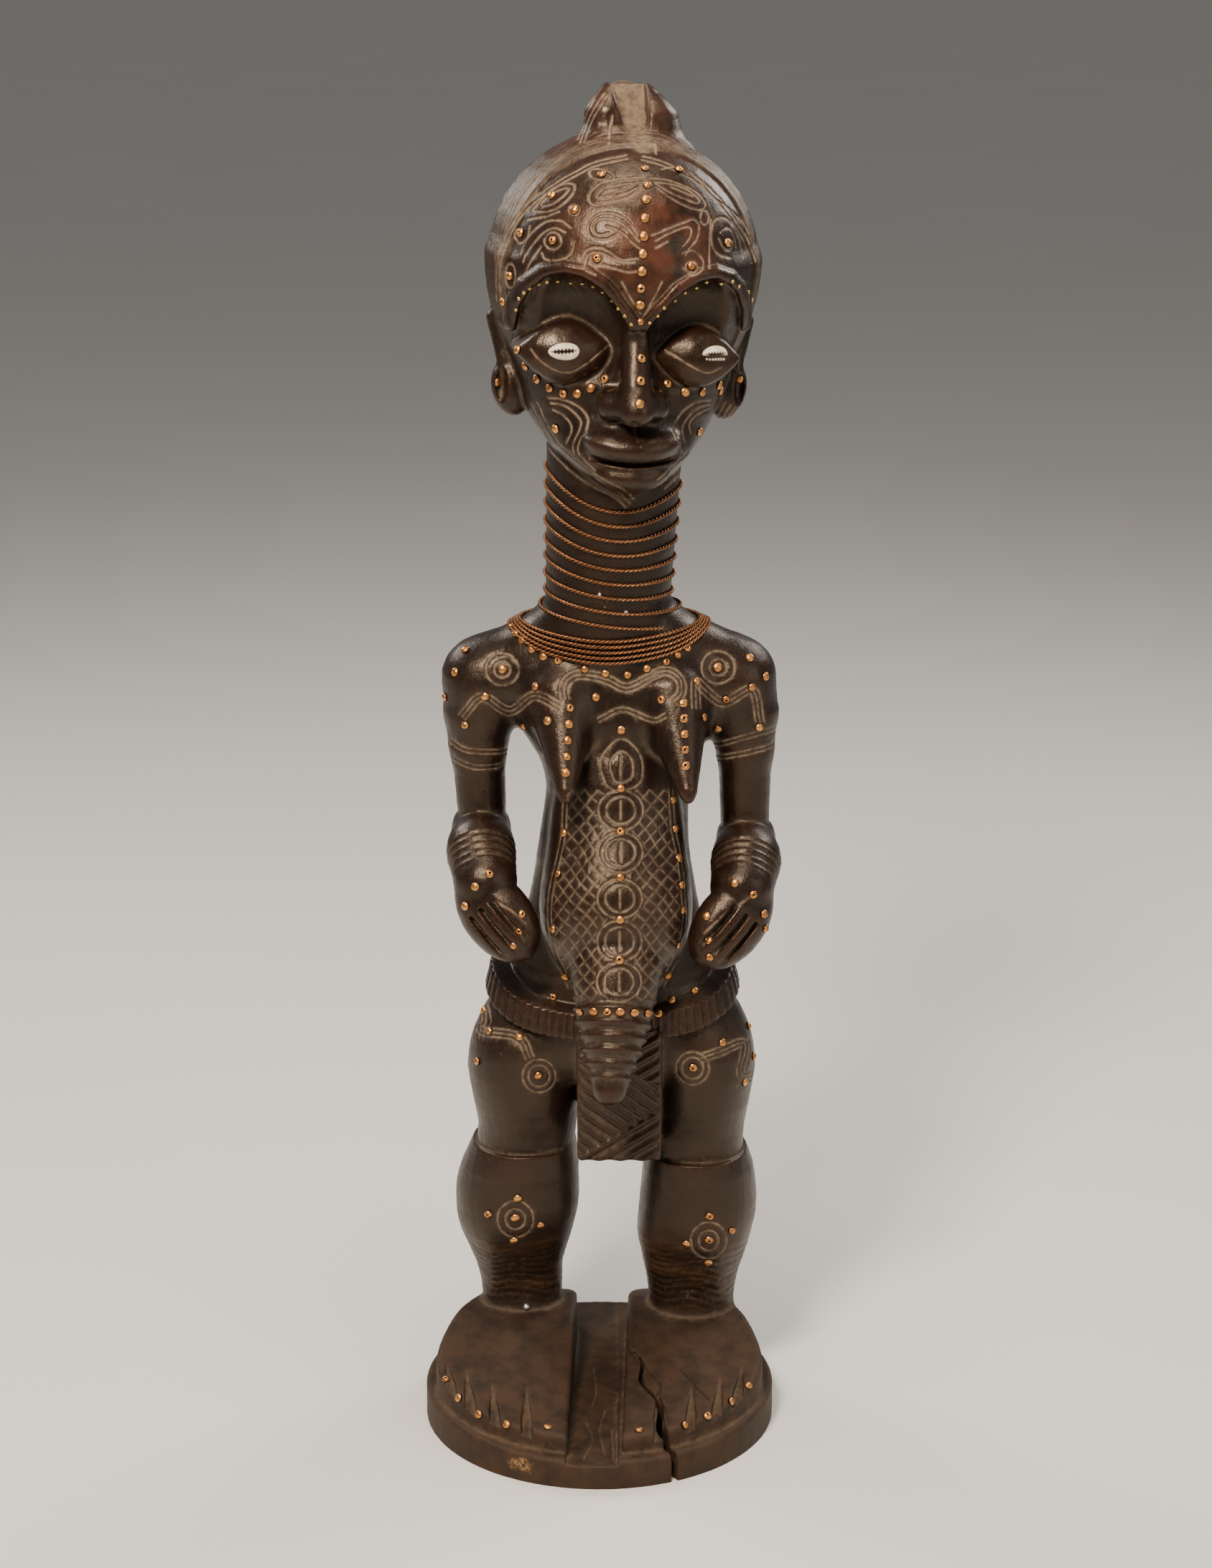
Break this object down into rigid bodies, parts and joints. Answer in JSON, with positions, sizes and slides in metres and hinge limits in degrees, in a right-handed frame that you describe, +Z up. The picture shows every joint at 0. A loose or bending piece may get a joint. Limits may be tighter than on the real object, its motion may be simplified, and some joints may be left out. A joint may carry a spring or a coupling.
{
  "type": "standing female figure",
  "caption": "Carved dark wood female figure standing on its round base, with wire-bound neck, cowrie eyes and tack ornament.",
  "frame": {"origin": "middle of the underside of the round base, on the surface that it stands on", "axes": "+Z up, -Y out of the face, +X to the right of someone who faces the figure"},
  "size_m": [0.176, 0.1758, 0.6594],
  "materials": {
    "oiled_wood": "nearly black oiled hardwood with a reddish brown rub on the forehead, pale dust in its cuts and drier, browner feet and base",
    "copper": "aged copper tacks and wire, bright on top and rust orange in the hollows",
    "cowrie_shell": null
  },
  "bodies": {
    "root": {"collar_wire_1": "copper", "collar_wire_2": "copper", "collar_wire_3": "copper", "collar_wire_4": "copper", "collar_wire_5": "copper", "cowrie_left": "cowrie_shell", "cowrie_right": "cowrie_shell", "figure": "oiled_wood", "neck_wire": "copper", "tack_belly_1": "copper", "tack_belly_2": "copper", "tack_belly_3": "copper", "tack_belly_4": "copper", "tack_belly_5": "copper", "tack_breast_left_1": "copper", "tack_breast_left_2": "copper", "tack_breast_left_3": "copper", "tack_breast_left_4": "copper", "tack_breast_left_5": "copper", "tack_breast_right_1": "copper", "tack_breast_right_2": "copper", "tack_breast_right_3": "copper", "tack_breast_right_4": "copper", "tack_breast_right_5": "copper", "tack_cheek_left_1": "copper", "tack_cheek_left_2": "copper", "tack_cheek_left_3": "copper", "tack_cheek_left_4": "copper", "tack_cheek_left_5": "copper", "tack_cheek_left_6": "copper", "tack_cheek_right_1": "copper", "tack_cheek_right_2": "copper", "tack_cheek_right_3": "copper", "tack_cheek_right_4": "copper", "tack_chest_1": "copper", "tack_forehead_1": "copper", "tack_forehead_2": "copper", "tack_forehead_3": "copper", "tack_forehead_4": "copper", "tack_forehead_5": "copper", "tack_forehead_6": "copper", "tack_forehead_7": "copper", "tack_hip_1": "copper", "tack_hip_2": "copper", "tack_knee_1": "copper", "tack_knee_2": "copper", "tack_navel_1": "copper", "tack_navel_2": "copper", "tack_navel_3": "copper", "tack_navel_4": "copper", "tack_navel_5": "copper", "tack_navel_6": "copper", "tack_nose_1": "copper", "tack_nose_2": "copper", "tack_nose_3": "copper", "tack_shoulder_1": "copper", "tack_shoulder_2": "copper"}
  },
  "joints": []
}
